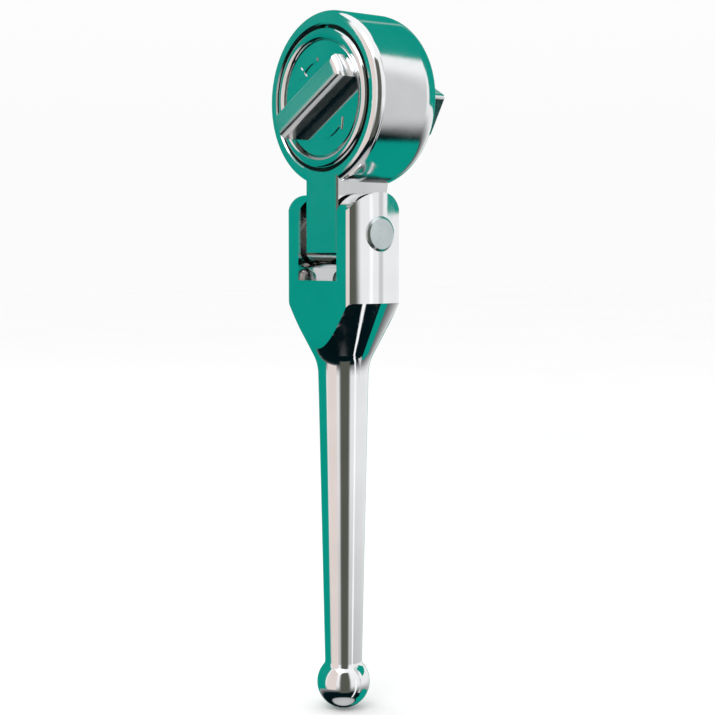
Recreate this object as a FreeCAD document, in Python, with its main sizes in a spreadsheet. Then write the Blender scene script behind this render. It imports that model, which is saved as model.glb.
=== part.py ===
import FreeCAD, Part
import Sketcher
import math, os

# Flex-head reversible ratchet handle, 3/8 inch square drive.
# Row frame: origin at the centre of the square drive on the rear face of the head,
# +Y out of the drive, +Z along the handle toward the head, X along the hinge pin.

doc = FreeCAD.newDocument("flex_ratchet")
V = FreeCAD.Vector
sheet = doc.addObject("Spreadsheet::Sheet", "Dim")

DIMS = [
    ("drive_side", 9.525), ("drive_length", 11.0), ("drive_corner", 0.9), ("drive_chamfer", 0.9),
    ("drive_turn", 15.0),
    ("head_radius", 17.5), ("head_thick", 18.12), ("head_rim", 1.9), ("head_round", 5.4),
    ("bore_radius", 14.5), ("rear_wall", 2.6), ("rear_bore", 8.3),
    ("lip_groove_radius", 15.1), ("lip_groove_front", 17.24), ("lip_groove_back", 16.6),
    ("hinge_back", 12.3), ("hinge_down", 27.24),
    ("tongue_half", 5.05), ("tongue_round", 6.9), ("tongue_flare", 1.1),
    ("pin_radius", 2.75), ("pin_bore", 2.8), ("pin_head_radius", 3.54), ("pin_head_seat", 10.2), ("pin_end", 12.0),
    ("pin_stub_radius", 2.0),
    ("clevis_radius", 11.73), ("clevis_flat", 6.89), ("slot_half", 6.1), ("slot_floor", 9.3),
    ("ear_round", 8.3), ("shoulder_down", 13.8), ("cone_down", 26.3), ("cone_radius", 5.2),
    ("neck_radius", 3.8), ("neck_down", 89.0), ("ball_radius", 5.45), ("ball_down", 92.55),
    ("spring_hole_radius", 2.3), ("spring_hole_down", 23.0),
    ("plunger_radius", 2.2), ("plunger_tip_down", 6.93), ("plunger_foot_down", 12.6),
    ("washer_radius", 5.6), ("washer_thick", 1.0),
    ("cover_inner", 11.76), ("cover_outer", 13.95), ("cover_front", 18.55), ("cover_press", 14.48),
    ("knob_radius", 11.7), ("knob_front", 17.95), ("knob_back", 14.95), ("knob_flange", 12.8), ("flange_back", 14.15),
    ("stem_radius", 3.6), ("stem_end", 6.2),
    ("bar_top", 22.4), ("bar_half", 2.6), ("bar_reach", 11.35), ("bar_turn", 30.1), ("bar_round", 1.5),
    ("core_radius", 12.2), ("core_front", 14.0), ("core_back", 3.12), ("neck_journal", 7.0),
    ("core_bore", 3.66), ("pocket_floor", 7.4), ("pocket_half_angle", 52.0),
    ("teeth", 36.0), ("tooth_root", 13.3), ("tooth_tip", 12.4), ("tooth_half", 1.0),
    ("gear_front", 13.6), ("gear_back", 6.6),
    ("pawl_pivot", 9.5), ("pawl_pin_radius", 1.25), ("pawl_rock", 8.0), ("pawl_front", 13.5), ("pawl_back", 7.5),
    ("shift_half", 30.0),
    ("poker_centre", 5.2), ("poker_tip", 1.2), ("poker_depth", 10.5),
    ("detent_radius", 1.75), ("detent_proud", 0.75), ("detent_along", 6.2), ("detent_hole", 1.79),
]
D = {}
for i, (name, value) in enumerate(DIMS):
    sheet.set("A%d" % (i + 1), name)
    sheet.set("B%d" % (i + 1), repr(value))
    sheet.setAlias("B%d" % (i + 1), name)
doc.recompute()


class Q:
    """A number together with the spreadsheet expression that gives it."""
    def __init__(self, v, e):
        self.v = float(v)
        self.e = e

    def __add__(self, o):
        o = q(o)
        return Q(self.v + o.v, "(%s + %s)" % (self.e, o.e))
    __radd__ = __add__

    def __sub__(self, o):
        o = q(o)
        return Q(self.v - o.v, "(%s - %s)" % (self.e, o.e))

    def __rsub__(self, o):
        return q(o) - self

    def __mul__(self, o):
        o = q(o)
        return Q(self.v * o.v, "(%s * %s)" % (self.e, o.e))
    __rmul__ = __mul__

    def __truediv__(self, o):
        o = q(o)
        return Q(self.v / o.v, "(%s / %s)" % (self.e, o.e))

    def __neg__(self):
        return Q(-self.v, "(0 - %s)" % self.e)


def q(x):
    return x if isinstance(x, Q) else Q(x, repr(float(x)) if x >= 0 else "(0 - %r)" % abs(float(x)))


S = {}
for name, value in DIMS:
    S[name] = Q(float(sheet.get(name)), "Dim." + name)
    D[name] = S[name].v
nodes = []


def plane(body, role):
    return [f for f in body.Origin.OriginFeatures if f.Role == role][0]


def new_body(label):
    b = doc.addObject("PartDesign::Body", label)
    b.Label = label
    nodes.append(b)
    return b


def new_sketch(body, role, name):
    sk = body.newObject("Sketcher::SketchObject", name)
    sk.AttachmentSupport = [(plane(body, role), "")]
    sk.MapMode = "FlatFace"
    return sk


def outline(sk, pts):
    """Closed outline. Each entry is (x, y); an entry (x, y, cx, cy, r, ccw) means an arc about (cx, cy) leads from it to the next."""
    base = sk.GeometryCount
    n = len(pts)
    num = [(q(p[0]), q(p[1])) for p in pts]
    arcs = []
    for i in range(n):
        a, b = num[i], num[(i + 1) % n]
        if len(pts[i]) > 2:
            cx, cy, r, ccw = q(pts[i][2]), q(pts[i][3]), q(pts[i][4]), pts[i][5]
            a0 = math.atan2(a[1].v - cy.v, a[0].v - cx.v)
            a1 = math.atan2(b[1].v - cy.v, b[0].v - cx.v)
            if not ccw:
                a0, a1 = a1, a0
            if a1 <= a0:
                a1 += 2 * math.pi
            sk.addGeometry(Part.ArcOfCircle(Part.Circle(V(cx.v, cy.v, 0), V(0, 0, 1), r.v), a0, a1), False)
            arcs.append((i, cx, cy, r, ccw))
        else:
            sk.addGeometry(Part.LineSegment(V(a[0].v, a[1].v, 0), V(b[0].v, b[1].v, 0)), False)
    arc_ids = dict((a[0], a) for a in arcs)

    def start(i):
        return 2 if (i in arc_ids and not arc_ids[i][4]) else 1

    def end(i):
        return 3 - start(i)
    for i in range(n):
        j = (i + 1) % n
        sk.addConstraint(Sketcher.Constraint("Coincident", base + i, end(i), base + j, start(j)))
    for i in range(n):
        for kind, val in (("DistanceX", num[i][0]), ("DistanceY", num[i][1])):
            c = sk.addConstraint(Sketcher.Constraint(kind, -1, 1, base + i, start(i), val.v))
            if "Dim." in val.e:
                sk.setExpression("Constraints[%d]" % c, val.e)
    for (i, cx, cy, r, ccw) in arcs:
        # the end points are fixed, so one more figure (where the centre lies along the chord's bisector) settles the arc
        p0, p1 = num[i], num[(i + 1) % n]
        if abs(p1[0].v - p0[0].v) >= abs(p1[1].v - p0[1].v):
            kind, val = "DistanceY", cy
        else:
            kind, val = "DistanceX", cx
        c = sk.addConstraint(Sketcher.Constraint(kind, -1, 1, base + i, 3, val.v))
        if "Dim." in val.e:
            sk.setExpression("Constraints[%d]" % c, val.e)


def circle(sk, x, y, r):
    g = sk.addGeometry(Part.Circle(V(q(x).v, q(y).v, 0), V(0, 0, 1), q(r).v), False)
    for kind, val in (("DistanceX", q(x)), ("DistanceY", q(y))):
        c = sk.addConstraint(Sketcher.Constraint(kind, -1, 1, g, 3, val.v))
        if "Dim." in val.e:
            sk.setExpression("Constraints[%d]" % c, val.e)
    c = sk.addConstraint(Sketcher.Constraint("Radius", g, q(r).v))
    if "Dim." in q(r).e:
        sk.setExpression("Constraints[%d]" % c, q(r).e)


def revolve(body, role, name, pts, axis="V_Axis", cut=False):
    sk = new_sketch(body, role, name + "_sketch")
    outline(sk, pts)
    f = body.newObject("PartDesign::Groove" if cut else "PartDesign::Revolution", name)
    f.Profile = sk
    f.ReferenceAxis = (sk, [axis])
    f.Angle = 360
    doc.recompute()
    return f


def prism(body, role, name, shapes, length, both=False, cut=False, flip=False, offset=None):
    sk = new_sketch(body, role, name + "_sketch")
    if offset is not None:
        sk.setExpression(".AttachmentOffset.Base.z", q(offset).e)
        sk.AttachmentOffset = FreeCAD.Placement(V(0, 0, q(offset).v), FreeCAD.Rotation())
    for s in shapes:
        if isinstance(s, tuple):
            circle(sk, *s)
        else:
            outline(sk, s)
    before = body.Shape.Volume if body.Tip else 0.0
    f = body.newObject("PartDesign::Pocket" if cut else "PartDesign::Pad", name)
    f.Profile = sk
    f.Length = q(length).v
    if "Dim." in q(length).e:
        f.setExpression("Length", q(length).e)
    f.Midplane = both
    f.Reversed = flip
    doc.recompute()
    if body.Tip and before > 0:
        changed = body.Shape.Volume - before
        if (cut and changed > -1e-6) or (not cut and changed < 1e-6):
            f.Reversed = not flip
            doc.recompute()
    return f


def edges_where(feature, test):
    out = []
    for i, e in enumerate(feature.Shape.Edges):
        if test(e):
            out.append("Edge%d" % (i + 1))
    return out


def dress(body, kind, name, test, size):
    base = body.Tip
    names = edges_where(base, test)
    if not names:
        for e in base.Shape.Edges:
            bb = e.BoundBox
            print("edge r %.2f X %.2f..%.2f Y %.2f..%.2f Z %.2f..%.2f" % (curve_radius(e), bb.XMin, bb.XMax, bb.YMin, bb.YMax, bb.ZMin, bb.ZMax))
        raise RuntimeError("no edges for " + name)
    f = body.newObject("PartDesign::" + kind, name)
    f.Base = (base, names)
    prop = "Radius" if kind == "Fillet" else "Size"
    setattr(f, prop, q(size).v)
    if "Dim." in q(size).e:
        f.setExpression(prop, q(size).e)
    doc.recompute()
    return f


def curve_radius(e):
    try:
        return float(getattr(e.Curve, "Radius", 0.0))
    except TypeError:
        return 0.0


def is_circle(e, r, tol=0.02):
    return abs(curve_radius(e) - r) < tol


def move(obj, x, y, z, rot=None):
    obj.Placement = FreeCAD.Placement(V(q(x).v, q(y).v, q(z).v), rot or FreeCAD.Rotation())
    for ax, val in (("x", q(x)), ("y", q(y)), ("z", q(z))):
        if "Dim." in val.e:
            obj.setExpression(".Placement.Base." + ax, val.e)


def solid(label, shape):
    o = doc.addObject("Part::Feature", label)
    o.Label = label
    o.Shape = shape
    nodes.append(o)
    return o


def helix(radius, wire, pitch, height):
    h = Part.makeHelix(pitch, height, radius)
    c = Part.Wire(Part.makeCircle(wire, V(radius, 0, 0), V(0, 1, 0.2)))
    p = Part.BRepOffsetAPI.MakePipeShell(Part.Wire(h.Edges))
    p.setFrenetMode(True)
    p.add(c)
    p.build()
    p.makeSolid()
    return p.shape()


HB, HD = S["hinge_back"], S["hinge_down"]

# ------------------------------------------------------------------ handle
b = new_body("handle")
revolve(b, "XZ_Plane", "handle_turned", [
    (0, S["ear_round"] + 0.5), (S["clevis_radius"], S["ear_round"] + 0.5), (S["clevis_radius"], -S["shoulder_down"]),
    (S["cone_radius"], -S["cone_down"]), (S["neck_radius"], -S["neck_down"]), (S["neck_radius"], -S["ball_down"]),
    (0, -S["ball_down"])])
ball = b.newObject("PartDesign::AdditiveSphere", "handle_ball")
ball.Radius = D["ball_radius"]
ball.setExpression("Radius", "Dim.ball_radius")
ball.Placement = FreeCAD.Placement(V(0, 0, -D["ball_down"]), FreeCAD.Rotation())
ball.setExpression(".Placement.Base.z", "0 - Dim.ball_down")
doc.recompute()
dress(b, "Fillet", "neck_fillet", lambda e: e.BoundBox.ZLength < 0.01 and e.BoundBox.XLength > 5
      and -D["ball_down"] + 3.0 < e.BoundBox.ZMin < -88.0, 1.2)
dress(b, "Fillet", "cone_fillet", lambda e: is_circle(e, D["cone_radius"]), 9.0)
far = S["clevis_radius"] + 1.5
top = S["ear_round"] + 1.5
prism(b, "YZ_Plane", "side_flats", [
    [(S["clevis_flat"], -S["cone_down"]), (far, -S["cone_down"]), (far, top), (S["clevis_flat"], top)],
    [(-far, -S["cone_down"]), (-S["clevis_flat"], -S["cone_down"]), (-S["clevis_flat"], top), (-far, top)]],
    40, both=True, cut=True)
prism(b, "XZ_Plane", "tongue_slot", [[(-S["slot_half"], -S["slot_floor"]), (S["slot_half"], -S["slot_floor"]),
                                      (S["slot_half"], top), (-S["slot_half"], top)]], 40, both=True, cut=True)
er = S["ear_round"]
prism(b, "YZ_Plane", "ear_dome", [[(er, 0, 0, 0, er, True), (-er, 0), (-far, 0), (-far, top), (far, top), (far, 0)]],
      40, both=True, cut=True)
dress(b, "Chamfer", "flat_edges", lambda e: abs(e.BoundBox.XLength) < 0.01 and e.BoundBox.ZLength > 3
      and abs(abs(e.BoundBox.YMin) - D["clevis_flat"]) < 0.01 and abs(e.BoundBox.XMin) > 8.5 and e.BoundBox.ZMax > -5, 0.45)
prism(b, "YZ_Plane", "pin_bore", [(0, 0, S["pin_radius"])], 40, both=True, cut=True)
prism(b, "YZ_Plane", "pin_seat_right", [(0, 0, S["pin_head_radius"])], 5, cut=True, flip=True, offset=S["pin_head_seat"])
prism(b, "YZ_Plane", "pin_seat_left", [(0, 0, S["pin_head_radius"])], 5, cut=True, offset=-S["pin_head_seat"])
prism(b, "XY_Plane", "spring_hole", [(0, 0, S["spring_hole_radius"])], S["spring_hole_down"] - S["slot_floor"] + 1.0,
      cut=True, offset=-(S["slot_floor"] - 1.0))
move(b, 0, -HB, -HD)

# ------------------------------------------------------------------ hinge
b = new_body("hinge_pin")
revolve(b, "XY_Plane", "pin_turned", [
    (-S["pin_end"] + 1.0, 0), (S["pin_end"], 0), (S["pin_end"], S["pin_head_radius"] - 0.5),
    (S["pin_end"] - 0.35, S["pin_head_radius"]), (S["pin_head_seat"], S["pin_head_radius"]),
    (S["pin_head_seat"], S["pin_radius"]), (-S["pin_head_seat"] + 0.4, S["pin_radius"]),
    (-S["pin_head_seat"] + 0.4, S["pin_stub_radius"]), (-S["pin_end"] + 1.0, S["pin_stub_radius"])], axis="H_Axis")
move(b, 0, -HB, -HD)
b = new_body("pin_cap")
revolve(b, "XY_Plane", "cap_turned", [
    (-S["pin_end"], 0), (-S["pin_end"] + 1.0, 0), (-S["pin_end"] + 1.0, S["pin_stub_radius"]),
    (-S["pin_head_seat"], S["pin_stub_radius"]), (-S["pin_head_seat"], S["pin_head_radius"]),
    (-S["pin_end"] + 0.35, S["pin_head_radius"]), (-S["pin_end"], S["pin_head_radius"] - 0.5)], axis="H_Axis")
move(b, 0, -HB, -HD)
for side, sgn in (("right", 1), ("left", -1)):
    b = new_body("friction_washer_" + side)
    x0 = S["slot_half"] - S["washer_thick"]
    x1 = S["slot_half"]
    if sgn < 0:
        x0, x1 = -x1, -x0
    revolve(b, "XY_Plane", "washer_turned_" + side, [
        (x0, S["pin_bore"]), (x1, S["pin_bore"]), (x1, S["washer_radius"]), (x0, S["washer_radius"])], axis="H_Axis")
    move(b, 0, -HB, -HD)
b = new_body("flex_plunger")
pr = S["plunger_radius"]
revolve(b, "XZ_Plane", "plunger_turned", [
    (0, -S["plunger_tip_down"]), (0, -S["plunger_foot_down"]), (pr, -S["plunger_foot_down"]),
    (pr, -(S["plunger_tip_down"] + pr), 0, -(S["plunger_tip_down"] + pr), pr, True)][::1])
move(b, 0, -HB, -HD)
spring_len = D["spring_hole_down"] - D["plunger_foot_down"]
o = solid("flex_spring", helix(1.75, 0.3, 1.5, spring_len - 0.6))
o.Placement = FreeCAD.Placement(V(0, -D["hinge_back"], -D["hinge_down"] - D["spring_hole_down"] + 0.3), FreeCAD.Rotation())

# ------------------------------------------------------------------ head housing
b = new_body("head_housing")
hr, ht = S["head_radius"], S["head_thick"]
rd = S["head_round"]
rm = S["head_rim"]
revolve(b, "XY_Plane", "head_turned", [
    (0, -ht), (hr - rm, -ht, hr - rm, -ht + rm, rm, True), (hr, -ht + rm), (hr, -rd, hr - rd, -rd, rd, True),
    (hr - rd, 0), (0, 0)])
tr, th = S["tongue_round"], S["tongue_half"]
front_drop = math.sqrt(D["tongue_round"] ** 2 - (D["head_thick"] - D["hinge_back"]) ** 2)
drop = Q(front_drop, "sqrt(Dim.tongue_round * Dim.tongue_round - (Dim.head_thick - Dim.hinge_back) * (Dim.head_thick - Dim.hinge_back))")
ch = 0.35
prism(b, "XY_Plane", "tongue", [[
    (-th, -ht + ch), (-th + ch, -ht), (th - ch, -ht), (th, -ht + ch), (th, -HB + tr), (-th, -HB + tr)]],
    HD + tr - 13.0, offset=-(HD + tr))
prism(b, "YZ_Plane", "tongue_flare", [[
    (-HB + tr - 1.0, -21.5), (-HB + tr, -21.5), (-HB + tr + S["tongue_flare"], -15.0), (-HB + tr - 1.0, -15.0)]],
    th * 2, both=True)
prism(b, "YZ_Plane", "tongue_nose", [[
    (-ht, -HD - drop, -HB, -HD, tr, True), (-HB + tr, -HD), (-HB + tr + 1.0, -HD), (-HB + tr + 1.0, -HD - tr - 1.0),
    (-ht - 1.0, -HD - tr - 1.0), (-ht - 1.0, -HD - drop)]], 40, both=True, cut=True)
revolve(b, "XY_Plane", "cavity", [
    (0, -ht - 1), (S["bore_radius"] + 1.35, -ht - 1), (S["bore_radius"] + 0.1, -ht + 0.25), (S["bore_radius"] + 0.1, -S["lip_groove_front"]),
    (S["lip_groove_radius"], -S["lip_groove_front"]), (S["lip_groove_radius"], -S["lip_groove_back"]),
    (S["bore_radius"], -S["lip_groove_back"]), (S["bore_radius"], -S["rear_wall"]),
    (S["rear_bore"], -S["rear_wall"]), (S["rear_bore"], 1.0), (0, 1.0)], cut=True)
prism(b, "YZ_Plane", "tongue_bore", [(-HB, -HD, S["pin_bore"])], 40, both=True, cut=True)

# ------------------------------------------------------------------ ratchet works
b = new_body("ratchet_ring")
prism(b, "XZ_Plane", "gear_blank", [(0, 0, S["cover_press"]), (0, 0, S["tooth_tip"])],
      S["gear_front"] - S["gear_back"], offset=S["gear_back"])
g = (S["tooth_root"] - S["tooth_tip"])
cutp = prism(b, "XZ_Plane", "tooth_space", [[
    (-S["tooth_half"] * 1.3, S["tooth_tip"] - g * 0.3), (S["tooth_half"] * 1.3, S["tooth_tip"] - g * 0.3),
    (0, S["tooth_root"])]], 20, both=True, cut=True)
cutp.Type = "ThroughAll"
pat = b.newObject("PartDesign::PolarPattern", "tooth_pattern")
pat.Originals = [cutp]
pat.Axis = (plane(b, "Y_Axis"), [""])
pat.Angle = 360
pat.Occurrences = int(D["teeth"])
pat.setExpression("Occurrences", "Dim.teeth")
b.Tip = pat
doc.recompute()

b = new_body("drive_core")
cr = S["core_radius"]
revolve(b, "XY_Plane", "core_turned", [
    (0, -S["core_front"]), (cr, -S["core_front"]), (cr, -S["core_back"]), (S["neck_journal"], -S["core_back"]),
    (S["neck_journal"], 0.4), (0, 0.4)])
a = S["drive_side"] / 2.0
sk = new_sketch(b, "XZ_Plane", "square_sketch")
sk.AttachmentOffset = FreeCAD.Placement(V(0, 0, 0), FreeCAD.Rotation(V(0, 0, 1), D["drive_turn"] - 45.0))
outline(sk, [(-a, -a), (a, -a), (a, a), (-a, a)])
f = b.newObject("PartDesign::Pad", "square_drive")
f.Profile = sk
f.Length = D["drive_length"]
f.setExpression("Length", "Dim.drive_length")
f.Reversed = True
doc.recompute()
assert b.Shape.BoundBox.YMax > 10.5
dress(b, "Fillet", "drive_corners", lambda e: e.BoundBox.YLength > 5 and e.BoundBox.XLength < 0.01 and e.BoundBox.ZLength < 0.01
      and math.hypot(e.BoundBox.XMin, e.BoundBox.ZMin) > 6.0 and e.BoundBox.YMax > 10 and curve_radius(e) == 0.0, S["drive_corner"])
dress(b, "Chamfer", "drive_end", lambda e: abs(e.BoundBox.YMin - D["drive_length"]) < 0.01 and e.BoundBox.YLength < 0.01, S["drive_chamfer"])
prism(b, "XZ_Plane", "core_bore_cut", [(0, 0, S["core_bore"])], S["core_front"] - S["stem_end"] + 1.2, cut=True, flip=True,
      offset=S["stem_end"] - 0.2)
pa = D["pocket_half_angle"]
ps, pc = math.sin(math.radians(pa)), math.cos(math.radians(pa))
pk = Q(ps, "sin(Dim.pocket_half_angle * 1 deg)")
pq = Q(pc, "cos(Dim.pocket_half_angle * 1 deg)")
prism(b, "XZ_Plane", "pawl_pocket", [[(0, 0), (pk * 16, pq * 16), (0, 22.0), (-(pk * 16), pq * 16)]],
      S["core_front"] - S["pocket_floor"] + 1.0, cut=True, flip=True, offset=S["pocket_floor"])
prism(b, "XZ_Plane", "pivot_hole", [(0, S["pawl_pivot"], S["pawl_pin_radius"])], 3.3, cut=True, flip=True, offset=S["pocket_floor"] - 3.2)
# radial hole for the detent ball, out of one flat of the square
hole = doc.addObject("Part::Cylinder", "detent_bore")
hole.Radius = D["detent_hole"]
hole.setExpression("Radius", "Dim.detent_hole")
hole.Height = 9.0
nodes.pop()
b.Label = "drive_core_body"
core_cut = doc.addObject("Part::Cut", "drive_core")
core_cut.Base = b
core_cut.Tool = hole
core_cut.Label = "drive_core"
nodes.append(core_cut)
flat_dir = math.radians(D["drive_turn"] + 45.0 + 90.0)
fd = V(math.cos(flat_dir), 0, math.sin(flat_dir))
rot = FreeCAD.Rotation(V(0, 0, 1), fd)
hole.Placement = FreeCAD.Placement(V(0, D["detent_along"], 0) - fd * 2.6, rot)

ball_at = D["drive_side"] / 2 + D["detent_proud"] - D["detent_radius"]
o = doc.addObject("Part::Sphere", "detent_ball")
o.Label = "detent_ball"
o.Radius = D["detent_radius"]
o.setExpression("Radius", "Dim.detent_radius")
o.Placement = FreeCAD.Placement(V(0, D["detent_along"], 0) + fd * ball_at, FreeCAD.Rotation())
nodes.append(o)
sp = helix(1.2, 0.22, 1.0, 3.15)
o = solid("detent_spring", sp)
o.Placement = FreeCAD.Placement(V(0, D["detent_along"], 0) - fd * 2.3, rot)

b = new_body("rear_bushing")
revolve(b, "XY_Plane", "bushing_turned", [
    (S["neck_journal"] + 0.03, -S["core_back"] + 0.04), (S["rear_bore"], -S["core_back"] + 0.04), (S["rear_bore"], 0),
    (S["neck_journal"] + 0.43, 0), (S["neck_journal"] + 0.03, -0.4)])
b = new_body("thrust_washer")
revolve(b, "XY_Plane", "thrust_turned", [
    (S["rear_bore"] + 0.1, -S["core_back"] + 0.04), (S["core_radius"] + 1.0, -S["core_back"] + 0.04),
    (S["core_radius"] + 1.0, -S["rear_wall"]), (S["rear_bore"] + 0.1, -S["rear_wall"])])
b = new_body("gear_spacer")
revolve(b, "XY_Plane", "spacer_turned", [
    (S["core_radius"] + 1.1, -S["gear_back"]), (S["cover_press"], -S["gear_back"]),
    (S["cover_press"], -S["rear_wall"]), (S["core_radius"] + 1.1, -S["rear_wall"])])

b = new_body("cover_ring")
co, ci, cf = S["cover_outer"], S["cover_inner"], S["cover_front"]
crown = (D["cover_outer"] - D["cover_inner"]) / 2
crown_r = 1.25
crown_drop = crown_r - math.sqrt(crown_r ** 2 - crown ** 2)
revolve(b, "XY_Plane", "cover_turned", [
    (ci, -cf + crown_drop, (ci + co) / 2, -cf + crown_r, crown_r, True), (co, -cf + crown_drop), (co, -S["lip_groove_back"]),
    (S["cover_press"], -S["lip_groove_back"]), (S["cover_press"], -S["gear_front"]),
    (S["knob_flange"] + 0.1, -S["gear_front"]), (S["knob_flange"] + 0.1, -S["knob_back"] - 0.04),
    (ci, -S["knob_back"] - 0.04)])
b = new_body("retaining_ring")
revolve(b, "XY_Plane", "circlip_turned", [
    (co + 0.05, -S["lip_groove_front"] + 0.02), (S["lip_groove_radius"] - 0.03, -S["lip_groove_front"] + 0.02),
    (S["lip_groove_radius"] - 0.03, -S["lip_groove_back"]), (co + 0.05, -S["lip_groove_back"])])
prism(b, "XZ_Plane", "circlip_gap", [[(-1.2, 10), (1.2, 10), (1.2, 18), (-1.2, 18)]], 40, both=True, cut=True)

# ------------------------------------------------------------------ reversing knob
b = new_body("shift_knob")
kr = S["knob_radius"]
revolve(b, "XY_Plane", "knob_turned", [
    (0, -S["knob_front"]), (kr - 0.35, -S["knob_front"]), (kr, -S["knob_front"] + 0.35), (kr, -S["knob_back"]),
    (S["knob_flange"], -S["knob_back"]), (S["knob_flange"], -S["flange_back"]), (S["stem_radius"], -S["flange_back"]),
    (S["stem_radius"], -S["stem_end"]), (0, -S["stem_end"])])
sk = new_sketch(b, "XZ_Plane", "bar_sketch")
sk.AttachmentOffset = FreeCAD.Placement(V(0, 0, D["knob_back"]), FreeCAD.Rotation(V(0, 0, 1), D["bar_turn"]))
bw, bl = S["bar_half"], S["bar_reach"]
arc_y = math.sqrt(D["bar_reach"] ** 2 - D["bar_half"] ** 2)
ax = Q(arc_y, "sqrt(Dim.bar_reach * Dim.bar_reach - Dim.bar_half * Dim.bar_half)")
outline(sk, [(ax, -bw, 0, 0, bl, True), (ax, bw), (-ax, bw, 0, 0, bl, True), (-ax, -bw)])
f = b.newObject("PartDesign::Pad", "bar")
f.Profile = sk
f.Length = D["bar_top"] - D["knob_back"]
f.setExpression("Length", "Dim.bar_top - Dim.knob_back")
doc.recompute()
assert b.Shape.BoundBox.YMin < -22, b.Shape.BoundBox
dress(b, "Fillet", "bar_edges", lambda e: abs(e.BoundBox.YMin + D["bar_top"]) < 0.01 and e.BoundBox.YLength < 0.01, S["bar_round"])
poke_dir = math.radians(90.0 + D["shift_half"])
pd = V(math.cos(poke_dir), 0, math.sin(poke_dir))
prot = FreeCAD.Rotation(V(0, 0, 1), pd)
bore = doc.addObject("Part::Cylinder", "poker_bore")
bore.Radius = D["poker_tip"] + 0.04
bore.setExpression("Radius", "Dim.poker_tip + 0.04")
bore.Height = 6.5
bore.Placement = FreeCAD.Placement(V(0, -D["poker_depth"], 0) - pd * 2.2, prot)
nodes.pop()
b.Label = "shift_knob_body"
knob_cut = doc.addObject("Part::Cut", "shift_knob")
knob_cut.Base = b
knob_cut.Tool = bore
knob_cut.Label = "shift_knob"
nodes.append(knob_cut)
tipr, tipc = D["poker_tip"], D["poker_centre"]
cyl = Part.makeCylinder(tipr, tipc - 1.6, V(0, 0, 1.6))
plg = cyl.fuse(Part.makeSphere(tipr, V(0, 0, tipc))).removeSplitter()
o = solid("knob_plunger", plg)
o.Placement = FreeCAD.Placement(V(0, -D["poker_depth"], 0), prot)
o = solid("knob_spring", helix(0.85, 0.16, 0.7, 2.8))
o.Placement = FreeCAD.Placement(V(0, -D["poker_depth"], 0) - pd * 1.95, prot)

# ------------------------------------------------------------------ pawl and its pin
P = V(0, 0, D["pawl_pivot"])


def pol(pts, y0, y1):
    w = Part.makePolygon([V(p[0], -y0, p[1]) for p in pts] + [V(pts[0][0], -y0, pts[0][1])])
    return Part.Face(w).extrude(V(0, -(y1 - y0), 0))


def turned(shape, deg):
    s = shape.copy()
    s.rotate(P, V(0, 1, 0), deg)
    return s


def tip_path(theta):
    """Centre of the plunger tip in the pawl's own frame when the knob stands theta degrees from neutral."""
    t = math.radians(theta)
    x, z = tipc * math.sin(t), tipc * math.cos(t)
    d = math.radians(D["pawl_rock"] * theta / D["shift_half"])
    dx, dz = x, z - D["pawl_pivot"]
    # the pawl has turned the other way about +Y by d; undo it
    return (dx * math.cos(d) + dz * math.sin(d), dz * math.cos(d) - dx * math.sin(d) + D["pawl_pivot"])


back_pts = []
N = 41
for i in range(N):
    u = -4.3 + 8.6 * i / (N - 1)
    best = 5.0
    for k in range(-60, 61):
        th_ = D["shift_half"] * k / 60.0
        cx_, cz_ = tip_path(th_)
        rr = tipr + 0.035
        if abs(u - cx_) < rr:
            best = max(best, cz_ + math.sqrt(rr * rr - (u - cx_) ** 2))
    back_pts.append((u, best))
R1, half = 13.6, 45.0
outer = [(R1 * math.sin(math.radians(t)), R1 * math.cos(math.radians(t))) for t in [half - 3.0 * k for k in range(31)]]
blank = pol(back_pts + [(5.6, 6.5), (6.45, 6.45)] + outer + [(-6.45, 6.45), (-5.6, 6.5)], D["pawl_back"], D["pawl_front"])
region = Part.makeCylinder(D["tooth_tip"] - 0.07, 20, V(0, 0, 0), V(0, -1, 0))
c0 = 0.05
for k in range(3, 6):
    for s in (-1, 1):
        ang = s * (360.0 / D["teeth"]) * (k - 0)
        gg = D["tooth_root"] - D["tooth_tip"]
        slope = D["tooth_half"] / gg
        apex = D["tooth_root"] - 0.08
        base_r = D["tooth_tip"] - 0.6
        tri = pol([(-(apex - base_r) * slope, base_r), ((apex - base_r) * slope, base_r), (0, apex)], -1.0, 20.0)
        tri.rotate(V(0, 0, 0), V(0, 1, 0), ang)
        region = region.fuse(tri)
rock = D["pawl_rock"]
shape = blank.common(turned(region, rock)).common(turned(region, -rock))
shape = shape.cut(Part.makeCylinder(D["pawl_pin_radius"] + 0.03, 30, V(0, 1, D["pawl_pivot"]), V(0, -1, 0)))
shape = max(shape.Solids, key=lambda s: s.Volume)
rest = turned(shape, rock)
o = solid("pawl", rest.removeSplitter())

o = doc.addObject("Part::Cylinder", "pawl_pin")
o.Label = "pawl_pin"
o.Radius = D["pawl_pin_radius"]
o.setExpression("Radius", "Dim.pawl_pin_radius")
o.Height = D["core_front"] - D["pocket_floor"] + 3.0
o.setExpression("Height", "Dim.core_front - Dim.pocket_floor + 3.0")
o.Placement = FreeCAD.Placement(V(0, -(D["pocket_floor"] - 3.1), D["pawl_pivot"]), FreeCAD.Rotation(V(0, 0, 1), V(0, -1, 0)))
nodes.append(o)

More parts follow.
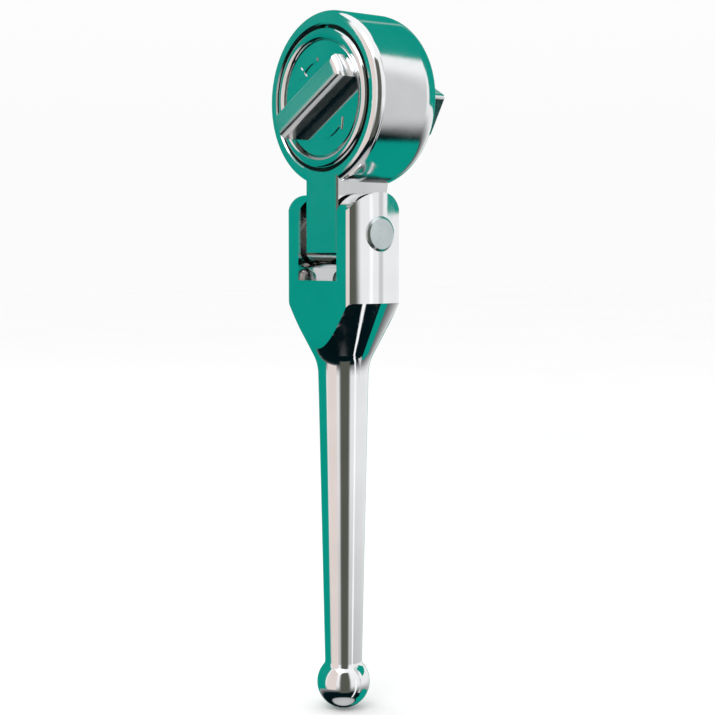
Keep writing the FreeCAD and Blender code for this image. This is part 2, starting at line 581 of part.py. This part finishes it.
# ------------------------------------------------------------------ checks and files
doc.recompute()
bad = [x.Name for x in doc.Objects if any(w in x.State for w in ("Invalid", "Error"))]
if bad:
    raise RuntimeError("objects in error: %s" % bad)
os.makedirs("parts", exist_ok=True)
for n in nodes:
    if n.Shape.isNull() or not n.Shape.isValid() or not n.Shape.Solids:
        raise RuntimeError("bad shape: " + n.Label)
    n.Shape.exportStep("parts/%s.step" % n.Label)
    bb = n.Shape.BoundBox
    print("%-24s solids %d vol %9.2f  X %.2f..%.2f Y %.2f..%.2f Z %.2f..%.2f" % (
        n.Label, len(n.Shape.Solids), n.Shape.Volume, bb.XMin, bb.XMax, bb.YMin, bb.YMax, bb.ZMin, bb.ZMax))
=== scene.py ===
import bpy, bmesh, math
from mathutils import Vector, Matrix


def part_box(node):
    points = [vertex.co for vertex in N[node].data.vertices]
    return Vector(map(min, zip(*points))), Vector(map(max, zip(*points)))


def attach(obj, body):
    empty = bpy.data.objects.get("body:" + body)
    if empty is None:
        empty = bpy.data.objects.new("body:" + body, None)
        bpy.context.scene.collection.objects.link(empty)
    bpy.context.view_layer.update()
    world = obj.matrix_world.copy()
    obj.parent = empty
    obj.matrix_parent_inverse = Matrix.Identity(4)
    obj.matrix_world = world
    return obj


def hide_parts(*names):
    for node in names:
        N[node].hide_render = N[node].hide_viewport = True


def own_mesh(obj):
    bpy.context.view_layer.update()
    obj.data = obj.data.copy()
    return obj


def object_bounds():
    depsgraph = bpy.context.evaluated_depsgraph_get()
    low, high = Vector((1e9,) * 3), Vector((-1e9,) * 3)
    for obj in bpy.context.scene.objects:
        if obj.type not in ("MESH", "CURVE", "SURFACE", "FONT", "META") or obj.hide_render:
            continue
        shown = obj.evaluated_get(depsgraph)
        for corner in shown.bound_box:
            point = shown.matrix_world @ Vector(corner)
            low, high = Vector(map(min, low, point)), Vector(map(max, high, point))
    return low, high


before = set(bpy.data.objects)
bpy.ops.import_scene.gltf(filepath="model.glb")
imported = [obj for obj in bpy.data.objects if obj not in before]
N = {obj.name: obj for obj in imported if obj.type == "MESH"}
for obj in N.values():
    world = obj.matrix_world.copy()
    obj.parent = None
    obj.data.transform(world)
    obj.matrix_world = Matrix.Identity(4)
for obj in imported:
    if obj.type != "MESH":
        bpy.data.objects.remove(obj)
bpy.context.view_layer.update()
scene = bpy.context.scene
MM = 0.001


# ------------------------------------------------------------------ node helpers
def new_mat(name):
    m = bpy.data.materials.new(name)
    m.use_nodes = True
    nt = m.node_tree
    nt.nodes.clear()
    out = nt.nodes.new("ShaderNodeOutputMaterial")
    bsdf = nt.nodes.new("ShaderNodeBsdfPrincipled")
    nt.links.new(bsdf.outputs[0], out.inputs[0])
    return m, nt, bsdf


def node(nt, kind, **props):
    n = nt.nodes.new(kind)
    for k, v in props.items():
        setattr(n, k, v)
    return n


def noise(nt, coord, scale, detail=4.0, rough=0.55, stretch=None):
    src = coord
    if stretch:
        mp = node(nt, "ShaderNodeMapping")
        mp.inputs["Scale"].default_value = stretch
        nt.links.new(coord, mp.inputs[0])
        src = mp.outputs[0]
    n = node(nt, "ShaderNodeTexNoise")
    n.inputs["Scale"].default_value = scale
    n.inputs["Detail"].default_value = detail
    n.inputs["Roughness"].default_value = rough
    nt.links.new(src, n.inputs["Vector"])
    return n.outputs["Fac"]


def ramp(nt, fac, stops, mode="LINEAR"):
    r = node(nt, "ShaderNodeValToRGB")
    r.color_ramp.interpolation = mode
    el = r.color_ramp.elements
    while len(el) > 1:
        el.remove(el[-1])
    el[0].position = stops[0][0]
    el[0].color = (*stops[0][1], 1.0)
    for p, c in stops[1:]:
        e = el.new(p)
        e.color = (*c, 1.0)
    nt.links.new(fac, r.inputs[0])
    return r.outputs[0]


def vrange(nt, fac, a, b, c, d):
    m = node(nt, "ShaderNodeMapRange")
    m.inputs["From Min"].default_value = a
    m.inputs["From Max"].default_value = b
    m.inputs["To Min"].default_value = c
    m.inputs["To Max"].default_value = d
    nt.links.new(fac, m.inputs["Value"])
    return m.outputs["Result"]


def coords(nt):
    return node(nt, "ShaderNodeTexCoord").outputs["Object"]


def g(v):
    return (v, v, v)


def srgb(r, gg, b):
    def f(c):
        c /= 255.0
        return c / 12.92 if c <= 0.04045 else ((c + 0.055) / 1.055) ** 2.4
    return (f(r), f(gg), f(b))


def chrome(name, tone=(0.86, 0.87, 0.88), rough=(0.03, 0.09), bump=0.15, seed=0.0, stretch=None, drawn=None):
    """Plated steel: mirror metal with faint waviness of the polished base, fine wipe marks and small dull patches."""
    m, nt, b = new_mat(name)
    co = coords(nt)
    mp = node(nt, "ShaderNodeMapping")
    mp.inputs["Location"].default_value = (seed, seed * 0.7, -seed)
    nt.links.new(co, mp.inputs[0])
    p = mp.outputs[0]
    b.inputs["Metallic"].default_value = 1.0
    cloud = noise(nt, p, 90, 3, 0.5)
    fine = noise(nt, p, 900, 5, 0.6, stretch)
    col = ramp(nt, cloud, [(0.30, tuple(c * 0.93 for c in tone)), (0.65, tone)])
    nt.links.new(col, b.inputs["Base Color"])
    mix = node(nt, "ShaderNodeMath", operation="MULTIPLY")
    nt.links.new(cloud, mix.inputs[0])
    nt.links.new(fine, mix.inputs[1])
    nt.links.new(vrange(nt, mix.outputs[0], 0.12, 0.42, rough[0], rough[1]), b.inputs["Roughness"])
    wave = noise(nt, p, 160 if drawn is None else 230, 2, 0.5, drawn)
    add = node(nt, "ShaderNodeMath", operation="MULTIPLY_ADD")
    nt.links.new(fine, add.inputs[0])
    add.inputs[1].default_value = 0.03
    nt.links.new(wave, add.inputs[2])
    bp = node(nt, "ShaderNodeBump")
    bp.inputs["Strength"].default_value = bump
    bp.inputs["Distance"].default_value = 0.00004
    nt.links.new(add.outputs[0], bp.inputs["Height"])
    nt.links.new(bp.outputs[0], b.inputs["Normal"])
    return m


def knob_chrome(name):
    """The same plate, polished flatter on the disc and left satin on the cast bar."""
    m = chrome(name, tone=(0.84, 0.85, 0.86), rough=(0.05, 0.12), bump=0.22, seed=0.71)
    nt = m.node_tree
    b = [n for n in nt.nodes if n.type == "BSDF_PRINCIPLED"][0]
    old = b.inputs["Roughness"].links[0].from_socket
    sp = node(nt, "ShaderNodeSeparateXYZ")
    nt.links.new(coords(nt), sp.inputs[0])
    onbar = vrange(nt, sp.outputs["Y"], -0.0190, -0.0184, 0.15, 0.0)
    add = node(nt, "ShaderNodeMath", operation="ADD")
    nt.links.new(old, add.inputs[0])
    nt.links.new(onbar, add.inputs[1])
    nt.links.new(add.outputs[0], b.inputs["Roughness"])
    return m


def metal(name, tone, rough, grain=(1, 1, 1), bump=0.25, scale=700):
    m, nt, b = new_mat(name)
    co = coords(nt)
    b.inputs["Metallic"].default_value = 1.0
    fine = noise(nt, co, scale, 6, 0.65, grain)
    cloud = noise(nt, co, 120, 3, 0.5)
    col = ramp(nt, cloud, [(0.3, tuple(c * 0.75 for c in tone)), (0.7, tone)])
    nt.links.new(col, b.inputs["Base Color"])
    nt.links.new(vrange(nt, fine, 0.3, 0.7, rough[0], rough[1]), b.inputs["Roughness"])
    bp = node(nt, "ShaderNodeBump")
    bp.inputs["Strength"].default_value = bump
    bp.inputs["Distance"].default_value = 0.00005
    nt.links.new(fine, bp.inputs["Height"])
    nt.links.new(bp.outputs[0], b.inputs["Normal"])
    return m


def paint(name_, mat):
    o = N[name_]
    o.data.materials.clear()
    o.data.materials.append(mat)


m_handle = chrome("chrome_handle", seed=0.11, bump=0.5, drawn=(1.0, 1.0, 0.10))
m_head = chrome("chrome_head", seed=0.37, rough=(0.07, 0.15))
m_cover = chrome("chrome_cover", tone=(0.80, 0.81, 0.82), rough=(0.06, 0.14), seed=0.53)
m_knob = knob_chrome("chrome_knob")
# pins: satin pale grey steel whose tone is tinted teal-blue, a painted reflection of the teal surroundings and not the
# steel's own colour
m_pin_tinted_reflection = metal("pin_satin_painted_reflection", (0.72, 0.80, 0.81), (0.18, 0.30), bump=0.15)
m_drive = chrome("chrome_drive", tone=(0.80, 0.81, 0.81), rough=(0.08, 0.2), bump=0.3, seed=0.91)
m_steel = metal("hardened_steel", (0.46, 0.45, 0.44), (0.18, 0.36))
m_wire = metal("spring_wire", (0.50, 0.50, 0.52), (0.2, 0.4))
m_bronze = metal("sintered_bronze", (0.55, 0.38, 0.17), (0.35, 0.6), scale=1800)
m_black = metal("black_oxide", (0.030, 0.033, 0.036), (0.3, 0.55), bump=0.3)

for k, mat in {
        "handle": m_handle, "head_housing": m_head, "cover_ring": m_cover, "shift_knob": m_knob,
        "hinge_pin": m_pin_tinted_reflection, "pin_cap": m_pin_tinted_reflection, "drive_core": m_drive, "ratchet_ring": m_steel, "pawl": m_steel,
        "pawl_pin": m_steel, "detent_ball": m_steel, "knob_plunger": m_steel, "flex_plunger": m_steel,
        "friction_washer_right": m_steel, "friction_washer_left": m_steel, "gear_spacer": m_steel,
        "flex_spring": m_wire, "knob_spring": m_wire, "detent_spring": m_wire,
        "rear_bushing": m_bronze, "thrust_washer": m_bronze, "retaining_ring": m_black}.items():
    paint(k, mat)

# ------------------------------------------------------------------ floor and backdrop
lo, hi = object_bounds()
FLOOR_Z = lo.z if hasattr(lo, "z") else lo[2]


def sheet(name_, verts, faces, mat, smooth=True):
    me = bpy.data.meshes.new(name_)
    me.from_pydata(verts, [], faces)
    me.update()
    o = bpy.data.objects.new(name_, me)
    scene.collection.objects.link(o)
    o.data.materials.append(mat)
    if smooth:
        for p in me.polygons:
            p.use_smooth = True
    return o


m_floor, nt, b = new_mat("pale_floor")
co = coords(nt)
fcol = ramp(nt, noise(nt, co, 6, 3), [(0.35, (0.895, 0.895, 0.893)), (0.65, (0.905, 0.905, 0.903))])
nt.links.new(fcol, b.inputs["Base Color"])
b.inputs["Roughness"].default_value = 0.85
S = 3.0
floor = sheet("floor", [(-S, -S, FLOOR_Z), (S, -S, FLOOR_Z), (S, S, FLOOR_Z), (-S, S, FLOOR_Z)], [(0, 1, 2, 3)], m_floor)
floor.visible_glossy = False

# ------------------------------------------------------------------ surroundings: a plain soft studio
world = bpy.data.worlds.new("studio")
scene.world = world
world.use_nodes = True
wt = world.node_tree
wt.nodes.clear()
wout = wt.nodes.new("ShaderNodeOutputWorld")
tc = wt.nodes.new("ShaderNodeTexCoord")
sep = wt.nodes.new("ShaderNodeSeparateXYZ")
wt.links.new(tc.outputs["Generated"], sep.inputs[0])
up = vrange(wt, sep.outputs["Z"], -1.0, 1.0, 0.0, 1.0)
soft = ramp(wt, up, [(0.0, g(0.60)), (0.052, g(0.50)), (0.074, srgb(3, 18, 22)), (0.21, srgb(6, 26, 30)), (0.32, g(0.45)), (0.41, g(0.88)), (0.47, g(0.965)), (0.54, g(0.965)), (1.0, g(1.12))])
bg = wt.nodes.new("ShaderNodeBackground")
wt.links.new(soft, bg.inputs[0])
wt.links.new(bg.outputs[0], wout.inputs[0])


def area(name_, loc, target, size, power):
    l = bpy.data.lights.new(name_, "AREA")
    l.shape = "DISK"
    l.size = size
    l.energy = power
    o = bpy.data.objects.new(name_, l)
    scene.collection.objects.link(o)
    o.location = loc
    o.rotation_euler = (Vector(target) - Vector(loc)).to_track_quat("-Z", "Y").to_euler()
    o.visible_camera = False
    return o


area("key", (0.25, -0.5, 0.7), (0, 0, -0.05), 0.5, 1.6)
area("fill", (-0.6, -0.3, 0.3), (0, 0, -0.05), 0.6, 0.8)


def card(name_, colour, az0, az1, soft_deg=4.0, radius=0.5, z0=-0.5, z1=0.45):
    """A plain upright studio card, gently curved round the object, with soft side edges.
    Azimuth 0 is toward -Y, positive toward +X."""
    m, nt_, b_ = new_mat(name_)
    nt_.nodes.remove(b_)
    e_ = node(nt_, "ShaderNodeEmission")
    e_.inputs[0].default_value = (*colour, 1.0)
    clear = node(nt_, "ShaderNodeBsdfTransparent")
    mix_ = node(nt_, "ShaderNodeMixShader")
    at = node(nt_, "ShaderNodeAttribute")
    at.attribute_name = "cover"
    nt_.links.new(at.outputs["Fac"], mix_.inputs[0])
    nt_.links.new(clear.outputs[0], mix_.inputs[1])
    nt_.links.new(e_.outputs[0], mix_.inputs[2])
    nt_.links.new(mix_.outputs[0], nt_.nodes["Material Output"].inputs[0])
    vs, fs, cov, n_ = [], [], [], 60
    for k_ in range(n_ + 1):
        d_ = az0 + (az1 - az0) * k_ / n_
        a_ = math.radians(d_)
        vs += [(math.sin(a_) * radius, -math.cos(a_) * radius, z0), (math.sin(a_) * radius, -math.cos(a_) * radius, z1)]
        q_ = max(0.0, min(1.0, min(d_ - az0, az1 - d_) / soft_deg))
        cov += [q_ * q_ * (3 - 2 * q_)] * 2
    for k_ in range(n_):
        fs.append((2 * k_, 2 * k_ + 2, 2 * k_ + 3, 2 * k_ + 1))
    o_ = sheet(name_, vs, fs, m)
    att = o_.data.attributes.new("cover", "FLOAT", "POINT")
    for i_, v_ in enumerate(cov):
        att.data[i_].value = v_
    for flag in ("visible_camera", "visible_diffuse", "visible_shadow", "visible_transmission"):
        setattr(o_, flag, False)
    return o_


TEAL = srgb(10, 156, 139)
card("teal_card", TEAL, -150, -32, 4.0, z0=-0.34, z1=0.8)
card("rear_teal_high", TEAL, 144, 214, 5.0, z0=-0.01, z1=0.8)
card("rear_teal_low", TEAL, 144, 216, 5.0, z0=-0.9, z1=-0.36)
card("warm_card", srgb(240, 226, 220), -30, 22, 6.0, z0=-0.34)
card("dark_card", srgb(92, 94, 85), 26, 86, 14.0)
card("grey_card", g(0.66), 120, 138, 7.0)
card("strip_light", g(1.15), 100, 111, 3.0, z0=-0.9, z1=0.0)

# ------------------------------------------------------------------ direction marks on the knob
def arrow(name_, centre_deg, sense):
    """A plain raised curved arrow on the knob's face, in the segment beside the bar."""
    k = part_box("shift_knob")
    face = -17.95 * MM
    rad, half, w = 7.9, 22.0, 0.42
    pts = []
    n_ = 14
    a0 = centre_deg - sense * half
    a1 = centre_deg + sense * (half - 8)
    def P(r_, d_):
        return (r_ * math.cos(math.radians(d_)) * MM, r_ * math.sin(math.radians(d_)) * MM)
    for i_ in range(n_ + 1):
        pts.append(P(rad + w, a0 + (a1 - a0) * i_ / n_))
    pts.append(P(rad + 1.35, a1))
    pts.append(P(rad, a1 + sense * 15))
    pts.append(P(rad - 1.35, a1))
    for i_ in range(n_ + 1):
        pts.append(P(rad - w, a1 + (a0 - a1) * i_ / n_))
    bm = bmesh.new()
    vs = [bm.verts.new((x, face + 0.02 * MM, z)) for x, z in pts]
    f_ = bm.faces.new(vs)
    ex = bmesh.ops.extrude_face_region(bm, geom=[f_])
    top = [v for v in ex["geom"] if isinstance(v, bmesh.types.BMVert)]
    bmesh.ops.translate(bm, verts=top, vec=(0, -0.26 * MM, 0))
    bmesh.ops.recalc_face_normals(bm, faces=bm.faces)
    te = [e for e in bm.edges if all(v in top for v in e.verts)]
    bmesh.ops.bevel(bm, geom=te, offset=0.09 * MM, segments=2, affect="EDGES")
    me = bpy.data.meshes.new(name_)
    bm.to_mesh(me)
    bm.free()
    o = bpy.data.objects.new(name_, me)
    scene.collection.objects.link(o)
    o.data.materials.append(m_knob)
    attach(o, "knob")
    return o


arrow("direction_mark_upper", 120.1, 1)
arrow("direction_mark_lower", -59.9, 1)

# ------------------------------------------------------------------ the hinge spring as its own copy, attached to the handle
coil_mesh = N["flex_spring"].data.copy()
coil_mesh.transform(N["flex_spring"].matrix_world)
coil = bpy.data.objects.new("hinge_spring_coil", coil_mesh)
scene.collection.objects.link(coil)
coil.data.materials.clear()
coil.data.materials.append(m_wire)
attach(coil, "handle")
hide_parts("flex_spring")
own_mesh(coil)

# ------------------------------------------------------------------ camera
AZ, EL = math.radians(49.65), math.radians(3.8)
c = Vector((math.sin(AZ) * math.cos(EL), -math.cos(AZ) * math.cos(EL), math.sin(EL)))
r = Vector((math.cos(AZ), math.sin(AZ), 0))
u = c.cross(r)
T = Vector((1.884, 2.218 - 12.3, -25.14 - 27.24)) * MM
cam_data = bpy.data.cameras.new("camera")
cam = bpy.data.objects.new("camera", cam_data)
scene.collection.objects.link(cam)
M = Matrix((
    (r.x, u.x, c.x, 0), (r.y, u.y, c.y, 0), (r.z, u.z, c.z, 0), (0, 0, 0, 1)))
cam.matrix_world = Matrix.Translation(T + c * 0.320) @ M
cam_data.sensor_width = 36.0
cam_data.lens = 1560.0 / 715.0 * 36.0
cam_data.clip_start = 0.01
scene.camera = cam
scene.view_settings.view_transform = "Standard"
